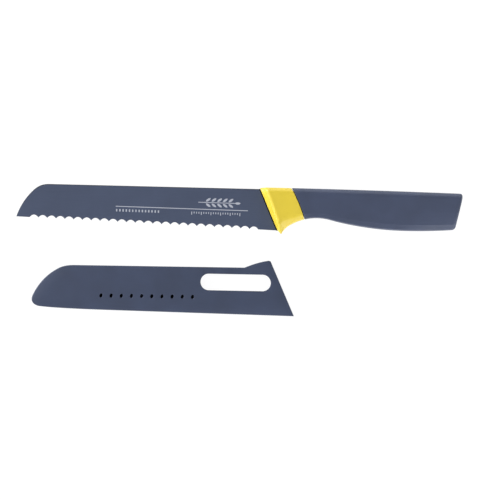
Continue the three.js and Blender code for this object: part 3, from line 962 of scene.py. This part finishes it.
def crown(obj):
    """Lets the upper face fall away gently towards its edges, over a lattice of small cells."""
    loop = sheath_loop()
    low, high = loop.min(axis=0), loop.max(axis=0)
    mesh = bmesh.new()
    mesh.from_mesh(obj.data)
    for axis in (0, 1):
        normal = Vector((1 - axis, axis, 0))
        for place in np.arange(low[axis] + CROWN_CELL / 2, high[axis], CROWN_CELL):
            everything = mesh.verts[:] + mesh.edges[:] + mesh.faces[:]
            bmesh.ops.bisect_plane(mesh, geom=everything, plane_co=normal * place, plane_no=normal)
    middle = SHEATH_HEIGHT / 2
    for vertex in mesh.verts:
        away = min(distance_to_loop(np.array(vertex.co.xy), loop) / CROWN_WIDTH, 1)
        rise = max(vertex.co.z - middle, 0) / middle
        vertex.co.z -= CROWN_DROP * (1 - away) ** 2 * rise ** 2
    mesh.to_mesh(obj.data)
    mesh.free()


def make_shell(name, upper, node):
    """One half of the sheath. The lower half is the upper one's mirror image, but has no crown
    and no small holes."""
    turn = (lambda stack: stack) if upper else flipped
    middle = SHEATH_HEIGHT / 2
    shell = make_object(name, *strips(stacked(turn(half_stack()))), Matrix())
    if upper:
        crown(shell)
    below = middle - 2 * CUTTER_OVERRUN
    cavity = [(cavity_loop(), below), (cavity_loop(), SHEATH_HEIGHT - WALL)]
    stacks = [cavity, flared_cutter(slot_loop(), RIM_ROUND, below, SHEATH_HEIGHT)]
    if upper:
        below = middle - CUTTER_OVERRUN
        stacks += [flared_cutter(loop, HOLE_RIM, below, SHEATH_HEIGHT) for loop in hole_loops()]
    cutters = [make_object("cutter", *strips(stacked(turn(s))), Matrix()) for s in stacks]
    # The cavity's cutter leaves the near-black painted shade on the walls it cuts; the slot's and holes'
    # cutters leave the sheath's own plastic
    for number, cutter in enumerate(cutters):
        cutter.data.materials.append(PAINTED_INSIDE_SHADE if number == 0 else SHEATH)
    shell.data.materials.append(SHEATH)
    cut(shell, cutters)
    shell.data.transform(SHEATH_PLACE)
    smooth(shell, angle=35)
    finish_piece(shell, "sheath", "sheath_plastic", node)


# ---- Core ----

def dress_core():
    """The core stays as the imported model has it, hidden in collar and grip."""
    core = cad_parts["handle_core"]
    core.data.materials.clear()
    core.data.materials.append(CORE)


# ---- Printed marks on the blade ----

PRINT_PROUD = 0.02
RULE_START = (-102.2, -14.6)
RULE_END = (-8.9, -15.55)
RULE_WIDTH = 0.55
STALK_RISE = 4.9  # from the rule up to the ear's stalk
STALK_START = -44
STALK_END = -18
STALK_WIDTH = 0.5
GRAIN_SIZE = (4.0, 1.6)
GRAIN_LEAN = math.radians(36)
GRAIN_PAIRS = 5
GRAIN_PITCH = 4
GRAIN_RISE = 1.9  # from the stalk to the middle of a grain
FIRST_GRAIN = -37
END_GRAIN = -16.2
TICK_DROP = 1.9  # from the rule down to the ticks

# Each row of ticks: start, end, number of ticks, their heights in turn, their width
TICK_ROWS = (
    (-101.5, -72, 14, (1.7,), 0.9),
    (-48.5, -14.5, 21, (2.1, 1.3, 1.3, 1.3), 0.6),
)


def printed(shapes):
    """Vertices and faces of thin flat shapes that lie on the blade."""
    vertices = []
    faces = []
    for shape in shapes:
        stack = [(shape, HALF_BLADE - PRINT_PROUD), (shape, HALF_BLADE + PRINT_PROUD)]
        points, skin = strips(stacked(stack))
        first = len(vertices)
        vertices.extend(points)
        faces.extend(tuple(i + first for i in face) for face in skin)
    return vertices, faces


def bar(start, end, width):
    """A straight stroke."""
    start, end = np.asarray(start, float), np.asarray(end, float)
    along = (end - start) / math.dist(start, end)
    side = np.array((-along[1], along[0])) * width / 2
    return np.array((start - side, end - side, end + side, start + side))


def grain(centre, angle):
    """A wheat grain: pointed at both ends."""
    length, width = GRAIN_SIZE
    t = np.linspace(0, 2 * math.pi, 25)[:-1]
    local = np.column_stack((length / 2 * np.cos(t), width / 2 * np.sin(t) * np.abs(np.sin(t)) ** 0.5))
    return turned(local, angle) + np.asarray(centre)


def rule_point(x, rise):
    """The point that lies this far above the rule at x."""
    share = (x - RULE_START[0]) / (RULE_END[0] - RULE_START[0])
    return np.array((x, between(RULE_START[1], RULE_END[1], share) + rise))


def wheat_ear():
    """A plain ear of wheat, lying along the blade."""
    stalk = [rule_point(x, STALK_RISE) for x in (STALK_START, STALK_END)]
    shapes = [bar(*stalk, STALK_WIDTH)]
    for i in range(GRAIN_PAIRS):
        for side in (1, -1):
            place = rule_point(FIRST_GRAIN + i * GRAIN_PITCH, STALK_RISE + side * GRAIN_RISE)
            shapes.append(grain(place, side * GRAIN_LEAN))
    shapes.append(grain(rule_point(END_GRAIN, STALK_RISE), 0))
    return shapes


def tick_row(start, end, count, heights, width):
    shapes = []
    for i in range(count):
        x = between(start, end, i / (count - 1))
        foot = -TICK_DROP - heights[i % len(heights)]
        shapes.append(bar(rule_point(x, foot), rule_point(x, -TICK_DROP), width))
    return shapes


def make_print():
    shapes = [bar(RULE_START, RULE_END, RULE_WIDTH)]
    shapes += wheat_ear()
    for row in TICK_ROWS:
        shapes += tick_row(*row)
    marks = make_object("printed_marks", *printed(shapes), KNIFE_PLACE)
    marks.data.materials.append(PRINT)
    finish_piece(marks, "knife", "blade_coating")


# ---- Stage ----

# Sizes of the stage are in metres, apart from the picture's centre, which is in millimetres in
# the knife's side view.
FLOOR_REACH = 6.0
FLOOR_GAP = 0.00005  # keeps the floor just below the pieces that lie on it
FLOOR_COLOUR = (0.08, 0.08, 0.08)
FLOOR_GLOW = 0.95
CAMERA_DISTANCE = 2.5
PICTURE_WIDTH = 0.35315
PICTURE_CENTRE = (-6.71, -43.18)
PICTURE_TILT = math.radians(1.4)
SKY_SIDES = 4.0  # brightness low down
SKY_TOP = 0.442  # brightness overhead
SKY_BAND = (0.15, 0.45)  # height over which one turns into the other
SKY_LEAN = 0.45  # how much brighter the left is, and how much darker the right

# Each area light: name, place, size, power in watts, the point it is aimed at
LIGHTS = (
    ("key", (-1.0, 0.5, 0.38), 0.6, 12, (0, 0, 0)),
    ("fill", (0.4, -0.6, 0.25), 0.4, 4, (0, 0, 0)),
    ("end_card", (-0.32, 0, 0.5), 0.25, 0.42, (-0.15, 0, 0)),
    ("end_card", (0.32, 0, 0.5), 0.25, 0.32, (0.15, 0, 0)),
)


def make_floor():
    """A pale floor that glows a little, so that it renders white."""
    mesh = bpy.data.meshes.new("floor")
    signs = ((-1, -1), (1, -1), (1, 1), (-1, 1))
    corners = [(x * FLOOR_REACH, y * FLOOR_REACH, 0) for x, y in signs]
    mesh.from_pydata(corners, [], [(0, 1, 2, 3)])
    floor = bpy.data.objects.new("floor", mesh)
    floor.location.z = cad_low.z - FLOOR_GAP
    bpy.context.scene.collection.objects.link(floor)
    material, shader = new_material("floor")
    shader.inputs["Base Color"].default_value = (*FLOOR_COLOUR, 1)
    shader.inputs["Roughness"].default_value = 0.9
    shader.inputs["Emission Color"].default_value = (1, 1, 1, 1)
    shader.inputs["Emission Strength"].default_value = FLOOR_GLOW
    mesh.materials.append(material)


def area_light(name, place, size, power, target):
    data = bpy.data.lights.new(name, "AREA")
    data.shape = "SQUARE"
    data.size = size
    data.energy = power
    light = bpy.data.objects.new(name, data)
    light.location = place
    bpy.context.scene.collection.objects.link(light)
    direction = Vector(target) - light.location
    light.rotation_euler = direction.to_track_quat("-Z", "Y").to_euler()


def make_lights():
    """A white tent, brightest low down and on the left, and the area lights: a broad soft key on the
    left, a fill at the lower right, and a weak card over each end."""
    world = bpy.data.worlds.new("studio")
    world.use_nodes = True
    nodes = world.node_tree.nodes
    links = world.node_tree.links
    direction = nodes.new("ShaderNodeTexCoord")
    parts = nodes.new("ShaderNodeSeparateXYZ")
    height = nodes.new("ShaderNodeMapRange")
    height.inputs["From Min"].default_value = SKY_BAND[0]
    height.inputs["From Max"].default_value = SKY_BAND[1]
    height.inputs["To Min"].default_value = SKY_SIDES
    height.inputs["To Max"].default_value = SKY_TOP
    links.new(direction.outputs["Generated"], parts.inputs["Vector"])
    links.new(parts.outputs["Z"], height.inputs["Value"])
    lean = nodes.new("ShaderNodeMath")
    lean.operation = "MULTIPLY_ADD"
    lean.inputs[1].default_value = -SKY_LEAN
    lean.inputs[2].default_value = 1.0
    links.new(parts.outputs["X"], lean.inputs[0])
    strength = nodes.new("ShaderNodeMath")
    strength.operation = "MULTIPLY"
    links.new(height.outputs["Result"], strength.inputs[0])
    links.new(lean.outputs["Value"], strength.inputs[1])
    links.new(strength.outputs["Value"], nodes["Background"].inputs["Strength"])
    nodes["Background"].inputs["Color"].default_value = (1, 1, 1, 1)
    bpy.context.scene.world = world
    for light in LIGHTS:
        area_light(*light)


def make_camera():
    """Looks straight down, from so far off that it sees hardly any perspective."""
    data = bpy.data.cameras.new("camera")
    data.sensor_width = 36
    data.lens = data.sensor_width * CAMERA_DISTANCE / PICTURE_WIDTH
    data.clip_start = 0.05
    camera = bpy.data.objects.new("camera", data)
    target = KNIFE_PLACE @ Vector((*PICTURE_CENTRE, 0))
    camera.location = target + Vector((0, 0, CAMERA_DISTANCE))
    camera.rotation_euler = (0, 0, PICTURE_TILT)
    bpy.context.scene.collection.objects.link(camera)
    bpy.context.scene.camera = camera


# ---- The scene ----

make_camera()
make_blade()
make_collar()
make_painted_shade_bead()
make_grip()
make_shell("sheath_front", True, "sheath_front_shell")
make_shell("sheath_back", False, "sheath_back_shell")
make_print()
dress_core()
make_floor()
make_lights()
bpy.context.scene.view_settings.view_transform = "Standard"
